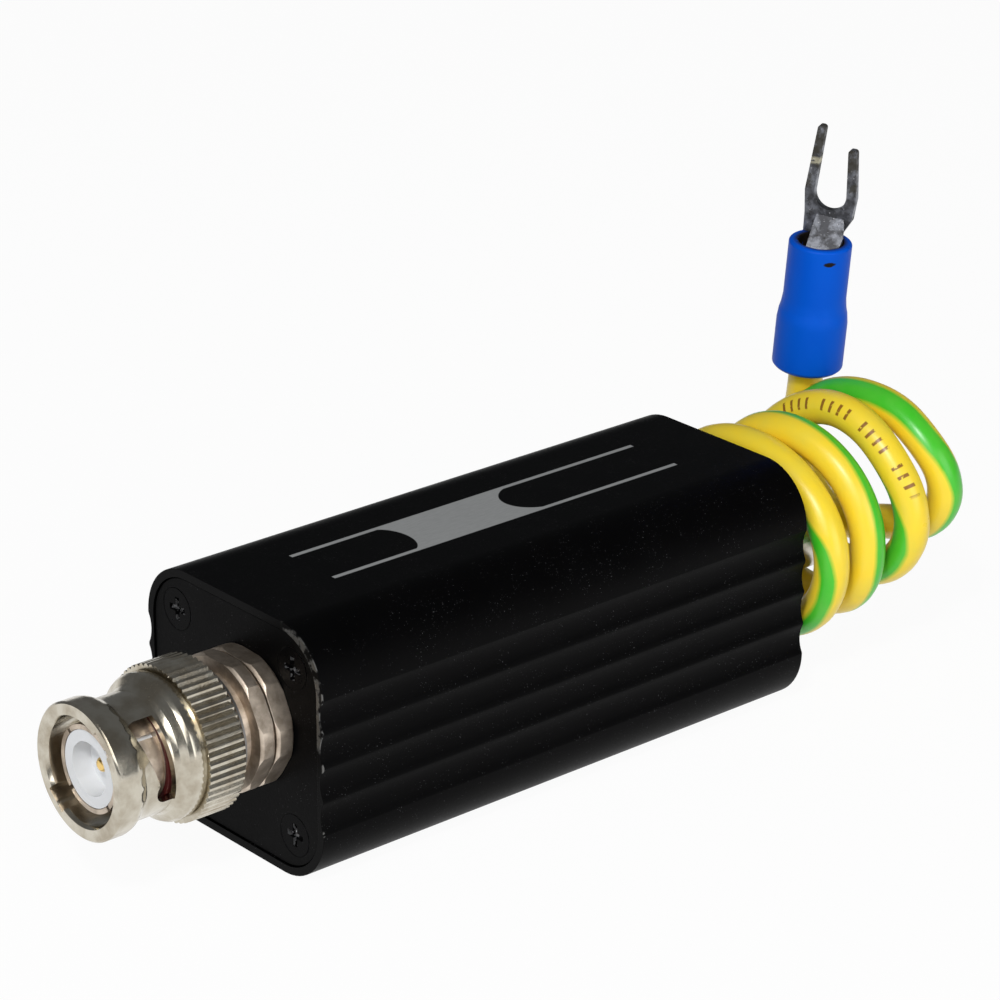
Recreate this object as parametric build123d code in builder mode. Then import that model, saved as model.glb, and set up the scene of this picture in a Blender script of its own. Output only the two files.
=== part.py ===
"""In-line video surge protector: a bayonet plug, an extruded housing, a bayonet jack and an earth wire.

Millimetres. +Z is up, the plug points along -Y and the jack along +Y. The origin is below the middle
of the rigid part's box, on the surface that the housing lies on.
"""
import os
from math import cos, radians, sin

from build123d import *

os.makedirs("parts", exist_ok=True)

# Extruded housing
housing_width = 25.3
housing_height = 24.5
housing_length = 59.0
housing_wall = 1.6
corner_radius = 5.7
flutes_per_side = 4
flute_pitch = 3.27
flute_depth = 0.4
flute_land = 0.25
rim_wall = 0.8
channel_radius = 2.3
rail_thickness = 0.9
rail_reach = 1.3

# End plates and their screws
plate_recess = 0.15
plate_thickness = 1.5
plate_gap = 0.08
screw_inset_x = 4.3
screw_inset_z = 4.15
screw_head_radius = 2.0
screw_shank_radius = 1.1
screw_length = 7.5
screw_gap = 0.03
recess_length = 2.2
recess_width = 0.55
recess_depth = 0.5

# Place of the connectors' shared axis on both end plates
connector_offset = 2.2
connector_top_distance = 10.55

# Plug, as distances in front of the housing's front end
plug_reach = 18.34
barrel_setback = 1.04
barrel_radius = 4.05
barrel_bore = 3.6
barrel_slit = 0.4
barrel_slit_turn = 45
gasket_seat_step = 0.3
plug_flange_front = 10.6
plug_flange_thickness = 1.2
plug_flange_radius = 5.6
neck_radius = 4.9
hexagon_flats = 12.2
hexagon_corner_radius = 6.45
hexagon_chamfer = 0.25
panel_nut_turn = -3
plug_hexagon_front = 3.5
plug_hexagon_thickness = 1.6
panel_nut_gap = 0.17
thread_radius = 4.7
thread_gap = 0.04
plug_shank_length = 6.2
insulator_gap = 0.05
insulator_recess_radius = 2.5
insulator_recess_depth = 2.0
insulator_tail_radius = 2.35
pin_radius = 0.66
pin_tip_setback = 2.14
solder_cup_radius = 0.95
solder_cup_bore = 0.55
solder_cup_length = 2.6
solder_cup_depth = 1.3
gasket_length = 1.7
gasket_wall = 0.35
gasket_gap = 0.05

# Coupling sleeve, its spring and its washers
mouth_radius = 5.15
sleeve_bore = 4.9
mouth_chamfer = 0.34
sleeve_flange_radius = 6.33
sleeve_flange_length = 2.1
sleeve_neck_radius = 5.6
sleeve_taper_length = 1.3
sleeve_neck_length = 3.1
sleeve_body_radius = 6.75
sleeve_shoulder_length = 0.8
sleeve_body_length = 1.15
knurl_crest_radius = 7.25
knurl_root_radius = 7.0
knurl_count = 60
knurl_groove_length = 0.25
knurl_groove_radius = 6.5
knurl_length = 3.8
sleeve_rear_radius = 6.6
sleeve_rear_length = 0.5
spring_bore_radius = 5.85
spring_bore_front = 11.2
sleeve_lip_thickness = 1.0
lip_gap = 0.25
lug_groove_width = 2.4
lug_groove_radius = 5.45
lug_groove_angle = 48
lug_groove_end = 14.0
window_top = 4.75
window_entry_reach = 15.5
window_rear_reach = 12.6
window_rear_slope = 0.65
window_bottom = -2.6
pocket_reach = 13.95
thrust_washer_thickness = 0.5
thrust_washer_gap = 0.2
lip_clearance = 0.05
spring_thickness = 0.25
spring_side_gap = 0.1
retaining_ring_thickness = 0.55
retaining_ring_radius = 5.9
retaining_groove_depth = 0.4
retaining_ring_opening = 2.0
retaining_ring_gap = 0.1

# Hardware on both threaded shanks
lock_washer_thickness = 0.6
lock_washer_radius = 6.2
inner_nut_thickness = 2.2
inner_hardware_gap = 0.12
inner_hardware_depth = 3.6
earth_tag_thickness = 0.6
earth_tag_width = 3.2
earth_tag_reach = 10.0
earth_tag_angle = 225
earth_tag_hole = 0.95

# Jack, as distances behind the housing's rear end
jack_reach = 10.0
jack_flange_thickness = 1.75
jack_hexagon_turn = 30
jack_shell_radius = 4.83
jack_bore = 4.15
jack_bore_depth = 7.8
jack_shank_length = 6.8
jack_lug_radius = 0.975
jack_lug_reach = 5.5
jack_lug_setback = 3.4
jack_lug_angle = 135
jack_insulator_setback = 0.7
jack_contact_radius = 1.1
jack_contact_bore = 0.7
jack_contact_setback = 1.1

# Earth wire, grommet, coil and terminal
wire_radius = 1.75
wire_gap = 0.05
wire_core_radius = 0.85
core_reach = 6.7
grommet_wall_gap = 0.15
grommet_z = 11.6
grommet_flange_radius = 2.9
grommet_waist_radius = 2.4
grommet_flange_thickness = 1.0
wire_inside = 4.0
coil_start = 2.2
coil_length = 16.2
coil_sides = 32
coil_outer_radii = (11.5, 10.2)
coil_inner_radii = (8.0, 7.4)
coil_start_centre = (2.7, 13.9)
coil_end_centre = (6.0, 17.7)
terminal_behind = 16.5
terminal_x = -4.25
terminal_z = 25.95
terminal_lean = 5.4
blade_turn = 25
sleeve_start = 0.75
sleeve_lower_radius = 3.55
sleeve_upper_radius = 3.15
insulating_sleeve_length = 13.6
sleeve_step_height = 5.6
sleeve_step_length = 1.6
sleeve_upper_bore = 2.2
sleeve_edge_bevel = 0.35
tail_below = 5.0
tail_inside = 4.4
crimp_barrel_start = 4.6
crimp_neck_start = 10.6
crimp_neck_near_end = 13.2
crimp_neck_far_end = 16.4
crimp_neck_side = 1.2
crimp_barrel_radius = 2.15
crimp_barrel_bore = 1.35
blade_thickness = 0.8
blade_start_gap = 0.05
blade_neck_width = 3.8
blade_neck_offset = -0.5
blade_shoulder_height = 16.4
blade_shoulder_width = 4.9
fork_width = 5.34
fork_root_height = 18.75
fork_slot_width = 3.36
fork_tip_width = 4.0
fork_tip_gap = 2.3
fork_tip_height = 25.6
fork_short_tip_height = 23.7
fork_tip_round = 0.3

# Circuit board and what is soldered to it
board_thickness = 1.6
board_bottom = 6.6
board_setback = 9.5
board_side_gap = 0.2
board_rail_gap = 0.1
solder_gap = 0.05
solder_length = 1.0
signal_hole_inset = 3.0
lead_radius = 0.4
tube_arrestor = dict(radius=3.0, length=6.0, spacing=10.0, height=3.3, along_x=True)
diode = dict(radius=1.4, length=5.4, spacing=9.0, height=1.7, along_x=False)
resistor = dict(radius=1.6, length=6.6, spacing=10.6, height=1.9, along_x=False)
tube_arrestor_y = 12.0
diode_y = -13.5
diode_inset = 5.65
resistor_y = -0.5
resistor_inset = 6.25

# Places and planes that follow from the sizes above
overall_length = plug_reach + housing_length + jack_reach
front_y = -overall_length / 2 + plug_reach
rear_y = front_y + housing_length
middle_y = (front_y + rear_y) / 2
middle_z = housing_height / 2
connector_rise = middle_z - connector_top_distance
axis_x = connector_offset
axis_z = middle_z + connector_rise
front_end = Plane(origin=(0, front_y, middle_z), x_dir=(1, 0, 0), z_dir=(0, -1, 0))
rear_end = Plane(origin=(0, rear_y, middle_z), x_dir=(-1, 0, 0), z_dir=(0, 1, 0))
plug_end = Plane(origin=(axis_x, front_y, axis_z), x_dir=(1, 0, 0), z_dir=(0, -1, 0))
jack_end = Plane(origin=(axis_x, rear_y, axis_z), x_dir=(-1, 0, 0), z_dir=(0, 1, 0))
plug_section = Plane(origin=(axis_x, front_y, axis_z), x_dir=(1, 0, 0), z_dir=(0, 0, -1))
jack_section = Plane(origin=(axis_x, rear_y, axis_z), x_dir=(1, 0, 0), z_dir=(0, 0, 1))
plug_axis = Axis((axis_x, front_y, axis_z), (0, -1, 0))
jack_axis = Axis((axis_x, rear_y, axis_z), (0, 1, 0))
screw_x = housing_width / 2 - screw_inset_x
screw_z = housing_height / 2 - screw_inset_z
seat_width = housing_width - 2 * rim_wall
seat_height = housing_height - 2 * rim_wall
seat_radius = corner_radius - rim_wall
plate_back = -plate_recess - plate_thickness
bore_width = housing_width - 2 * housing_wall
bore_height = housing_height - 2 * housing_wall
grommet_x = grommet_flange_radius + grommet_wall_gap - bore_width / 2


def ring_face(plane, outer, inner):
    """A flat ring on a plane."""
    with BuildSketch(plane) as ring:
        Circle(outer)
        Circle(inner, mode=Mode.SUBTRACT)
    return ring.sketch


def hexagon_nut(plane, bore, thickness, turn=0):
    """A hexagon with its corners turned round and bevelled, and a round hole."""
    with BuildPart() as nut:
        with BuildSketch(plane):
            Circle(hexagon_corner_radius)
        extrude(amount=thickness)
        chamfer(nut.edges().filter_by(GeomType.CIRCLE), hexagon_chamfer)
        with BuildSketch(plane):
            RegularPolygon(hexagon_flats / 2, 6, major_radius=False, rotation=turn)
        extrude(amount=thickness, mode=Mode.INTERSECT)
        with BuildSketch(plane):
            Circle(bore)
        extrude(amount=thickness, mode=Mode.SUBTRACT)
    return nut.part


def turned_profile(plane, points, bevels=()):
    """The half section of a turned piece, as radius and distance along its axis, its corners bevelled."""
    outline = []
    for index, point in enumerate(points):
        bevel = bevels[index] if bevels else 0
        if bevel:
            corner = Vector(*point)
            for other in (points[index - 1], points[(index + 1) % len(points)]):
                outline.append(corner + (Vector(*other) - corner).normalized() * bevel)
        else:
            outline.append(Vector(*point))
    with BuildSketch(plane) as section:
        with BuildLine():
            Polyline(*outline, close=True)
        make_face()
    return section.sketch


def round_wire(points, radius):
    """A round wire along straight runs with mitred corners."""
    with BuildPart() as wire:
        with BuildLine() as path:
            Polyline(*points)
        with BuildSketch(Plane(origin=path.wire() @ 0, z_dir=path.wire() % 0)):
            Circle(radius)
        sweep(transition=Transition.RIGHT)
    return wire.part


def lead_places(x, y, size):
    """The two places where a component's wire ends pass through the board."""
    half = size["spacing"] / 2
    if size["along_x"]:
        return [(x - half, y), (x + half, y)]
    return [(x, y - half), (x, y + half)]


def soldered_part(x, y, size):
    """A round component on two wire ends that pass through the board."""
    low = board_bottom - solder_length
    high = board_bottom + board_thickness + size["height"]
    near, far = lead_places(x, y, size)
    points = [(*near, low), (*near, high), (*far, high), (*far, low)]
    along = (1, 0, 0) if size["along_x"] else (0, 1, 0)
    with BuildPart() as component:
        add(round_wire(points, lead_radius))
        with BuildSketch(Plane(origin=(x, y, high), x_dir=(0, 0, 1), z_dir=along)):
            Circle(size["radius"])
        extrude(amount=size["length"] / 2, both=True)
    return component.part


# Housing: an extrusion, with a seat for an end plate cut into each end
flute_chord = flute_pitch - flute_land
flute_radius = (flute_chord ** 2 / 4 + flute_depth ** 2) / (2 * flute_depth)
flute_x = housing_width / 2 - flute_depth + flute_radius
rail_x = bore_width / 2 - rail_reach / 2
lower_rail = board_bottom - rail_thickness / 2 - middle_z
upper_rail = board_bottom + board_thickness + board_rail_gap + rail_thickness / 2 - middle_z
with BuildPart() as housing_shell:
    with BuildSketch(front_end):
        RectangleRounded(housing_width, housing_height, corner_radius)
        with GridLocations(2 * flute_x, flute_pitch, 2, flutes_per_side):
            Circle(flute_radius, mode=Mode.SUBTRACT)
        RectangleRounded(bore_width, bore_height, corner_radius - housing_wall, mode=Mode.SUBTRACT)
        with GridLocations(2 * screw_x, 2 * screw_z, 2, 2):
            Circle(channel_radius)
        for rail_z in (lower_rail, upper_rail):
            with Locations((0, rail_z)):
                with GridLocations(2 * rail_x, 0, 2, 1):
                    Rectangle(rail_reach, rail_thickness)
        with GridLocations(2 * screw_x, 2 * screw_z, 2, 2):
            Circle(screw_shank_radius + screw_gap, mode=Mode.SUBTRACT)
    extrude(amount=-housing_length)
    for end in (front_end, rear_end):
        with BuildSketch(end):
            RectangleRounded(seat_width, seat_height, seat_radius)
        extrude(amount=plate_back, mode=Mode.SUBTRACT)
    for end in (plug_end, jack_end):
        with BuildSketch(end):
            Circle(hexagon_corner_radius + inner_hardware_gap)
        extrude(amount=plate_back - inner_hardware_depth, mode=Mode.SUBTRACT)

# End plates
plate_size = (seat_width - 2 * plate_gap, seat_height - 2 * plate_gap, seat_radius - plate_gap)
connector_hole = thread_radius + 2 * thread_gap
plates = {}
for plate_name, end, side in (("front_plate", front_end, 1), ("rear_plate", rear_end, -1)):
    with BuildPart() as plate:
        with BuildSketch(end.offset(-plate_recess)):
            RectangleRounded(*plate_size)
            with Locations((side * axis_x, connector_rise)):
                Circle(connector_hole, mode=Mode.SUBTRACT)
            if plate_name == "rear_plate":
                with Locations((side * grommet_x, grommet_z - middle_z)):
                    Circle(grommet_waist_radius + wire_gap, mode=Mode.SUBTRACT)
        extrude(amount=-plate_thickness)
        with Locations(end.offset(-plate_recess)):
            with GridLocations(2 * screw_x, 2 * screw_z, 2, 2):
                CounterSinkHole(screw_shank_radius + screw_gap, screw_head_radius + screw_gap)
    plates[plate_name] = plate

# Countersunk screws, four to a plate
screw_head_height = screw_head_radius - screw_shank_radius
screws = {}
for screws_name, end in (("front_plate_screws", front_end), ("rear_plate_screws", rear_end)):
    with BuildPart() as plate_screws:
        with Locations(end.offset(-plate_recess)):
            with GridLocations(2 * screw_x, 2 * screw_z, 2, 2):
                Cone(screw_shank_radius, screw_head_radius, screw_head_height,
                     align=(Align.CENTER, Align.CENTER, Align.MAX))
                Cylinder(screw_shank_radius, screw_length, align=(Align.CENTER, Align.CENTER, Align.MAX))
                Box(recess_length, recess_width, 2 * recess_depth, mode=Mode.SUBTRACT)
                Box(recess_width, recess_length, 2 * recess_depth, mode=Mode.SUBTRACT)
    screws[screws_name] = plate_screws

# Plug body: slit barrel, flange, shank for the coupling sleeve, hexagon and threaded shank
barrel_end = plug_reach - barrel_setback
plug_flange_rear = plug_flange_front - plug_flange_thickness
insulator_step = plug_flange_rear - plug_flange_thickness
sleeve_rear = (plug_reach - sleeve_flange_length - sleeve_taper_length - sleeve_neck_length
               - sleeve_shoulder_length - sleeve_body_length - knurl_groove_length - knurl_length
               - sleeve_rear_length)
ring_front = sleeve_rear - retaining_ring_gap
ring_groove_front = ring_front + lip_clearance
ring_groove_rear = ring_front - retaining_ring_thickness - lip_clearance
ring_groove_radius = neck_radius - retaining_groove_depth
plug_hexagon_rear = plug_hexagon_front - plug_hexagon_thickness
gasket_front = plug_flange_front + gasket_length + gasket_gap
gasket_seat_radius = barrel_radius + gasket_seat_step
tail_bore = insulator_tail_radius + insulator_gap
with BuildPart() as plug_body:
    revolve(turned_profile(plug_section, [
        (barrel_bore, barrel_end), (barrel_radius, barrel_end), (barrel_radius, gasket_front),
        (gasket_seat_radius, gasket_front), (gasket_seat_radius, plug_flange_front),
        (plug_flange_radius, plug_flange_front), (plug_flange_radius, plug_flange_rear),
        (neck_radius, plug_flange_rear), (neck_radius, ring_groove_front),
        (ring_groove_radius, ring_groove_front), (ring_groove_radius, ring_groove_rear),
        (neck_radius, ring_groove_rear), (neck_radius, plug_hexagon_rear),
        (thread_radius, plug_hexagon_rear), (thread_radius, -plug_shank_length),
        (tail_bore, -plug_shank_length), (tail_bore, insulator_step), (barrel_bore, insulator_step)]),
        axis=plug_axis)
    add(hexagon_nut(plug_end.offset(plug_hexagon_rear), ring_groove_radius, plug_hexagon_thickness))
    with BuildSketch(plug_end.offset(barrel_end)):
        Rectangle(2 * barrel_radius + 1, barrel_slit, rotation=barrel_slit_turn)
        Rectangle(barrel_slit, 2 * barrel_radius + 1, rotation=barrel_slit_turn)
    extrude(amount=gasket_front - barrel_end, mode=Mode.SUBTRACT)

# Plug hardware on the threaded shank: the nut outside, the lock washer and the nut inside
panel_nut_thickness = plug_hexagon_rear - panel_nut_gap + plate_recess
washer_back = plate_back - lock_washer_thickness
nut_bore = thread_radius + thread_gap
with BuildPart() as plug_panel_nut:
    add(hexagon_nut(plug_end.offset(-plate_recess), nut_bore, panel_nut_thickness, panel_nut_turn))
with BuildPart() as plug_lock_washer:
    extrude(ring_face(plug_end.offset(washer_back), lock_washer_radius, nut_bore), amount=lock_washer_thickness)
with BuildPart() as plug_inner_nut:
    add(hexagon_nut(plug_end.offset(washer_back - inner_nut_thickness), nut_bore, inner_nut_thickness))

# Plug insulator, with the shallow recess round the pin
insulator_front = plug_reach - 1.1
insulator_floor = insulator_front - insulator_recess_depth
insulator_radius = barrel_bore - insulator_gap
pin_hole = pin_radius + thread_gap
with BuildPart() as plug_insulator:
    revolve(turned_profile(plug_section, [
        (pin_hole, insulator_floor), (insulator_recess_radius, insulator_floor),
        (insulator_recess_radius, insulator_front), (insulator_radius, insulator_front),
        (insulator_radius, insulator_step + insulator_gap), (insulator_tail_radius, insulator_step + insulator_gap),
        (insulator_tail_radius, -plug_shank_length), (pin_hole, -plug_shank_length)]), axis=plug_axis)

# Centre pin, round at its tip, with a solder cup behind the insulator
pin_tip = plug_reach - pin_tip_setback
cup_end = -plug_shank_length - solder_cup_length
with BuildPart() as plug_centre_pin:
    with BuildSketch(plug_end.offset(cup_end)):
        Circle(pin_radius)
    extrude(amount=pin_tip - cup_end)
    fillet(plug_centre_pin.edges().sort_by(Axis.Y)[0], pin_radius * 0.6)
    with BuildSketch(plug_end.offset(cup_end)):
        Circle(solder_cup_radius)
    extrude(amount=solder_cup_length - insulator_gap)
    with BuildSketch(plug_end.offset(cup_end)):
        Circle(solder_cup_bore)
    extrude(amount=solder_cup_depth, mode=Mode.SUBTRACT)

# Red gasket, in front of the body's flange
gasket_bore = gasket_seat_radius + gasket_gap
with BuildPart() as plug_gasket:
    extrude(ring_face(plug_end.offset(plug_flange_front), gasket_bore + gasket_wall, gasket_bore),
            amount=gasket_length)

# Coupling sleeve: turned outside and inside, knurled, with two lug grooves and two cam windows
flange_rear = plug_reach - sleeve_flange_length
neck_front = flange_rear - sleeve_taper_length
neck_rear = neck_front - sleeve_neck_length
shoulder_rear = neck_rear - sleeve_shoulder_length
knurl_step = shoulder_rear - sleeve_body_length
knurl_front = knurl_step - knurl_groove_length
knurl_rear = knurl_front - knurl_length
lip_bore = neck_radius + lip_gap
lip_front = sleeve_rear + sleeve_lip_thickness
sleeve_points = [
    (mouth_radius, plug_reach), (sleeve_flange_radius, plug_reach), (sleeve_flange_radius, flange_rear),
    (sleeve_neck_radius, neck_front), (sleeve_neck_radius, neck_rear), (sleeve_body_radius, shoulder_rear),
    (sleeve_body_radius, knurl_step), (knurl_groove_radius, knurl_step), (knurl_groove_radius, knurl_front),
    (knurl_root_radius, knurl_front), (knurl_root_radius, knurl_rear), (sleeve_rear_radius, sleeve_rear),
    (lip_bore, sleeve_rear), (lip_bore, lip_front), (spring_bore_radius, lip_front),
    (spring_bore_radius, spring_bore_front), (sleeve_bore, spring_bore_front),
    (sleeve_bore, plug_reach - mouth_chamfer)]
sleeve_bevels = [0, 0.18, 0.25, 0.35, 0.3, 0.25, 0.12, 0, 0, 0, 0, 0.1, 0, 0, 0, 0, 0, 0]
window_side = Plane(origin=plug_end.origin, x_dir=(0, 0, 1), z_dir=(1, 0, 0))
window_far_side = Plane(origin=plug_end.origin, x_dir=(0, 0, -1), z_dir=(-1, 0, 0))
with BuildPart() as coupling_sleeve:
    revolve(turned_profile(plug_section, sleeve_points, sleeve_bevels), axis=plug_axis)
    with BuildSketch(plug_end.offset(knurl_rear)):
        Circle(knurl_crest_radius)
        Circle(sleeve_rear_radius, mode=Mode.SUBTRACT)
        with PolarLocations(knurl_crest_radius, knurl_count):
            groove_side = (knurl_crest_radius - knurl_root_radius) * 2 ** 0.5
            Rectangle(groove_side, groove_side, rotation=45, mode=Mode.SUBTRACT)
    extrude(amount=knurl_length)
    with BuildSketch(plug_end.offset(lug_groove_end)):
        with PolarLocations((sleeve_bore + lug_groove_radius) / 2 - 0.3, 2, start_angle=lug_groove_angle):
            Rectangle(lug_groove_radius - sleeve_bore + 0.6, lug_groove_width)
    extrude(amount=plug_reach - lug_groove_end, mode=Mode.SUBTRACT)
    for window in (window_side, window_far_side):
        with BuildSketch(window.offset(1)):
            with BuildLine():
                Polyline((window_bottom, pocket_reach - 0.9), (window_bottom, window_rear_reach - window_rear_slope),
                         (window_top, window_rear_reach), (window_top, window_entry_reach),
                         (window_bottom + 1.9, pocket_reach - 0.2))
                ThreePointArc((window_bottom + 1.9, pocket_reach - 0.2), (window_bottom + 0.9, pocket_reach),
                              (window_bottom, pocket_reach - 0.9))
            make_face()
        extrude(amount=sleeve_body_radius, mode=Mode.SUBTRACT)

# Washer that the spring presses on, and the curved spring washer itself
thrust_rear = lip_front + lip_clearance
thrust_front = thrust_rear + thrust_washer_thickness
with BuildPart() as thrust_washer:
    extrude(ring_face(plug_end.offset(thrust_rear), spring_bore_radius - thrust_washer_gap,
                      neck_radius + thrust_washer_gap / 2), amount=thrust_washer_thickness)
spring_outer = plug_flange_radius
spring_inner = neck_radius + spring_side_gap
spring_front = plug_flange_rear - lip_clearance
spring_rear = thrust_front + lip_clearance
with BuildPart() as plug_spring_washer:
    with BuildSketch(plug_section):
        with BuildLine():
            outer_arc = ThreePointArc((-spring_outer, spring_rear + spring_thickness), (0, spring_front),
                                      (spring_outer, spring_rear + spring_thickness))
            inner_arc = ThreePointArc((-spring_outer, spring_rear), (0, spring_front - spring_thickness),
                                      (spring_outer, spring_rear))
            Line(outer_arc @ 0, inner_arc @ 0)
            Line(outer_arc @ 1, inner_arc @ 1)
        make_face()
    extrude(amount=spring_outer, both=True)
    extrude(ring_face(plug_end.offset(spring_rear - 1), spring_outer, spring_inner),
            amount=spring_front - spring_rear + 2, mode=Mode.INTERSECT)

# Retaining ring, open at the bottom, in the groove behind the sleeve
with BuildPart() as plug_retaining_ring:
    extrude(ring_face(plug_end.offset(ring_front - retaining_ring_thickness), retaining_ring_radius,
                      ring_groove_radius + thread_gap), amount=retaining_ring_thickness)
    with BuildSketch(plug_end.offset(ring_front - retaining_ring_thickness)):
        with Locations((0, -neck_radius)):
            Rectangle(retaining_ring_opening, 2 * retaining_ring_opening)
    extrude(amount=retaining_ring_thickness, mode=Mode.SUBTRACT)

# Jack: hexagon against the rear plate, shell with two lugs, threaded shank inside the housing
with BuildPart() as jack_body:
    revolve(turned_profile(jack_section, [
        (jack_bore, jack_reach), (jack_shell_radius, jack_reach), (jack_shell_radius, -plate_recess),
        (thread_radius, -plate_recess), (thread_radius, -jack_shank_length), (tail_bore, -jack_shank_length),
        (tail_bore, jack_reach - jack_bore_depth), (jack_bore, jack_reach - jack_bore_depth)]), axis=jack_axis)
    add(hexagon_nut(jack_end.offset(-plate_recess), thread_radius, jack_flange_thickness, jack_hexagon_turn))
    with BuildSketch(Plane(jack_end.location * Pos(0, 0, jack_reach - jack_lug_setback)
                           * Rot(0, 0, jack_lug_angle) * Rot(0, 90, 0))):
        Circle(jack_lug_radius)
    extrude(amount=jack_lug_reach, both=True)
    with BuildSketch(jack_end.offset(jack_reach - jack_bore_depth)):
        Circle(jack_bore)
    extrude(amount=jack_bore_depth, mode=Mode.SUBTRACT)
with BuildPart() as jack_lock_washer:
    extrude(ring_face(jack_end.offset(washer_back), lock_washer_radius, nut_bore), amount=lock_washer_thickness)

# Earth tag, its tongue turned down beside the jack
tag_back = washer_back - earth_tag_thickness
with BuildPart() as earth_tag:
    with BuildSketch(Plane(jack_end.offset(tag_back).location * Rot(0, 0, 180 - earth_tag_angle))):
        Circle(lock_washer_radius)
        with Locations((earth_tag_reach / 2, 0)):
            SlotCenterPoint((0, 0), (earth_tag_reach / 2 - earth_tag_width / 2, 0), earth_tag_width)
        Circle(nut_bore, mode=Mode.SUBTRACT)
        with Locations((earth_tag_reach - earth_tag_width / 2, 0)):
            Circle(earth_tag_hole, mode=Mode.SUBTRACT)
    extrude(amount=earth_tag_thickness)
with BuildPart() as jack_nut:
    add(hexagon_nut(jack_end.offset(tag_back - inner_nut_thickness), nut_bore, inner_nut_thickness))
with BuildPart() as jack_insulator:
    revolve(turned_profile(jack_section, [
        (jack_contact_radius + thread_gap, jack_reach - jack_insulator_setback),
        (insulator_tail_radius, jack_reach - jack_insulator_setback), (insulator_tail_radius, -jack_shank_length),
        (jack_contact_radius + thread_gap, -jack_shank_length)]), axis=jack_axis)
with BuildPart() as jack_centre_contact:
    with BuildSketch(jack_end.offset(-jack_shank_length - solder_cup_length)):
        Circle(jack_contact_radius)
    extrude(amount=jack_reach - jack_contact_setback + jack_shank_length + solder_cup_length)
    with BuildSketch(jack_end.offset(jack_reach - jack_contact_setback)):
        Circle(jack_contact_bore)
    extrude(amount=-jack_bore_depth, mode=Mode.SUBTRACT)
    with BuildSketch(jack_end.offset(-jack_shank_length - solder_cup_length)):
        Circle(solder_cup_bore)
    extrude(amount=solder_cup_depth, mode=Mode.SUBTRACT)

# Grommet in the rear plate
grommet_end = Plane(origin=(grommet_x, rear_y, grommet_z), x_dir=(-1, 0, 0), z_dir=(0, 1, 0))
grommet_section = Plane(origin=grommet_end.origin, x_dir=(1, 0, 0), z_dir=(0, 0, 1))
grommet_front = plate_back - grommet_flange_thickness
grommet_rear = grommet_flange_thickness - plate_recess
wire_hole = wire_radius + wire_gap
with BuildPart() as wire_grommet:
    revolve(turned_profile(grommet_section, [
        (wire_hole, grommet_rear), (grommet_waist_radius, grommet_rear), (grommet_flange_radius, -plate_recess),
        (grommet_waist_radius, -plate_recess), (grommet_waist_radius, plate_back),
        (grommet_flange_radius, plate_back), (grommet_flange_radius, grommet_front), (wire_hole, grommet_front)]),
        axis=Axis(grommet_end.origin, (0, 1, 0)))

# Earth wire: the run through the grommet, the turns, and the run up into the terminal
with BuildPart() as earth_wire_lead:
    with BuildSketch(grommet_end.offset(-wire_inside)):
        Circle(wire_radius)
    extrude(amount=wire_inside + coil_start)
coil_front = Plane(origin=(coil_start_centre[0], rear_y + coil_start, coil_start_centre[1]),
                   x_dir=(-1, 0, 0), z_dir=(0, 1, 0))
coil_rear = Plane(origin=(coil_end_centre[0], rear_y + coil_start + coil_length, coil_end_centre[1]),
                  x_dir=(-1, 0, 0), z_dir=(0, 1, 0))
with BuildPart() as earth_wire_coil:
    for radii, mode in ((coil_outer_radii, Mode.ADD), (coil_inner_radii, Mode.SUBTRACT)):
        for coil_plane, radius in zip((coil_front, coil_rear), radii):
            with BuildSketch(coil_plane):
                RegularPolygon(radius, coil_sides, major_radius=mode == Mode.ADD)
        loft(ruled=True, mode=mode)
terminal = Plane(Location((terminal_x, rear_y + terminal_behind, terminal_z), (0, terminal_lean, 0)))
with BuildPart() as earth_wire_tail:
    with BuildSketch(terminal.offset(-tail_below)):
        Circle(wire_radius)
    extrude(amount=tail_below + tail_inside)

# Insulating sleeve: wide over the wire, narrower over the crimp
terminal_section = Plane(origin=terminal.origin, x_dir=terminal.x_dir, z_dir=-terminal.y_dir)
sleeve_end = sleeve_start + insulating_sleeve_length
sleeve_step_start = sleeve_start + sleeve_step_height
with BuildPart() as terminal_sleeve:
    revolve(turned_profile(terminal_section, [
        (wire_hole, sleeve_start), (sleeve_lower_radius, sleeve_start), (sleeve_lower_radius, sleeve_step_start),
        (sleeve_upper_radius, sleeve_step_start + sleeve_step_length),
        (sleeve_upper_radius, sleeve_end), (sleeve_upper_bore, sleeve_end),
        (sleeve_upper_bore, crimp_barrel_start), (wire_hole, crimp_barrel_start)],
        [0, sleeve_edge_bevel, 0.5, 0.5, 0.2, 0.15, 0, 0]), axis=Axis(terminal.origin, terminal.z_dir))

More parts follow.
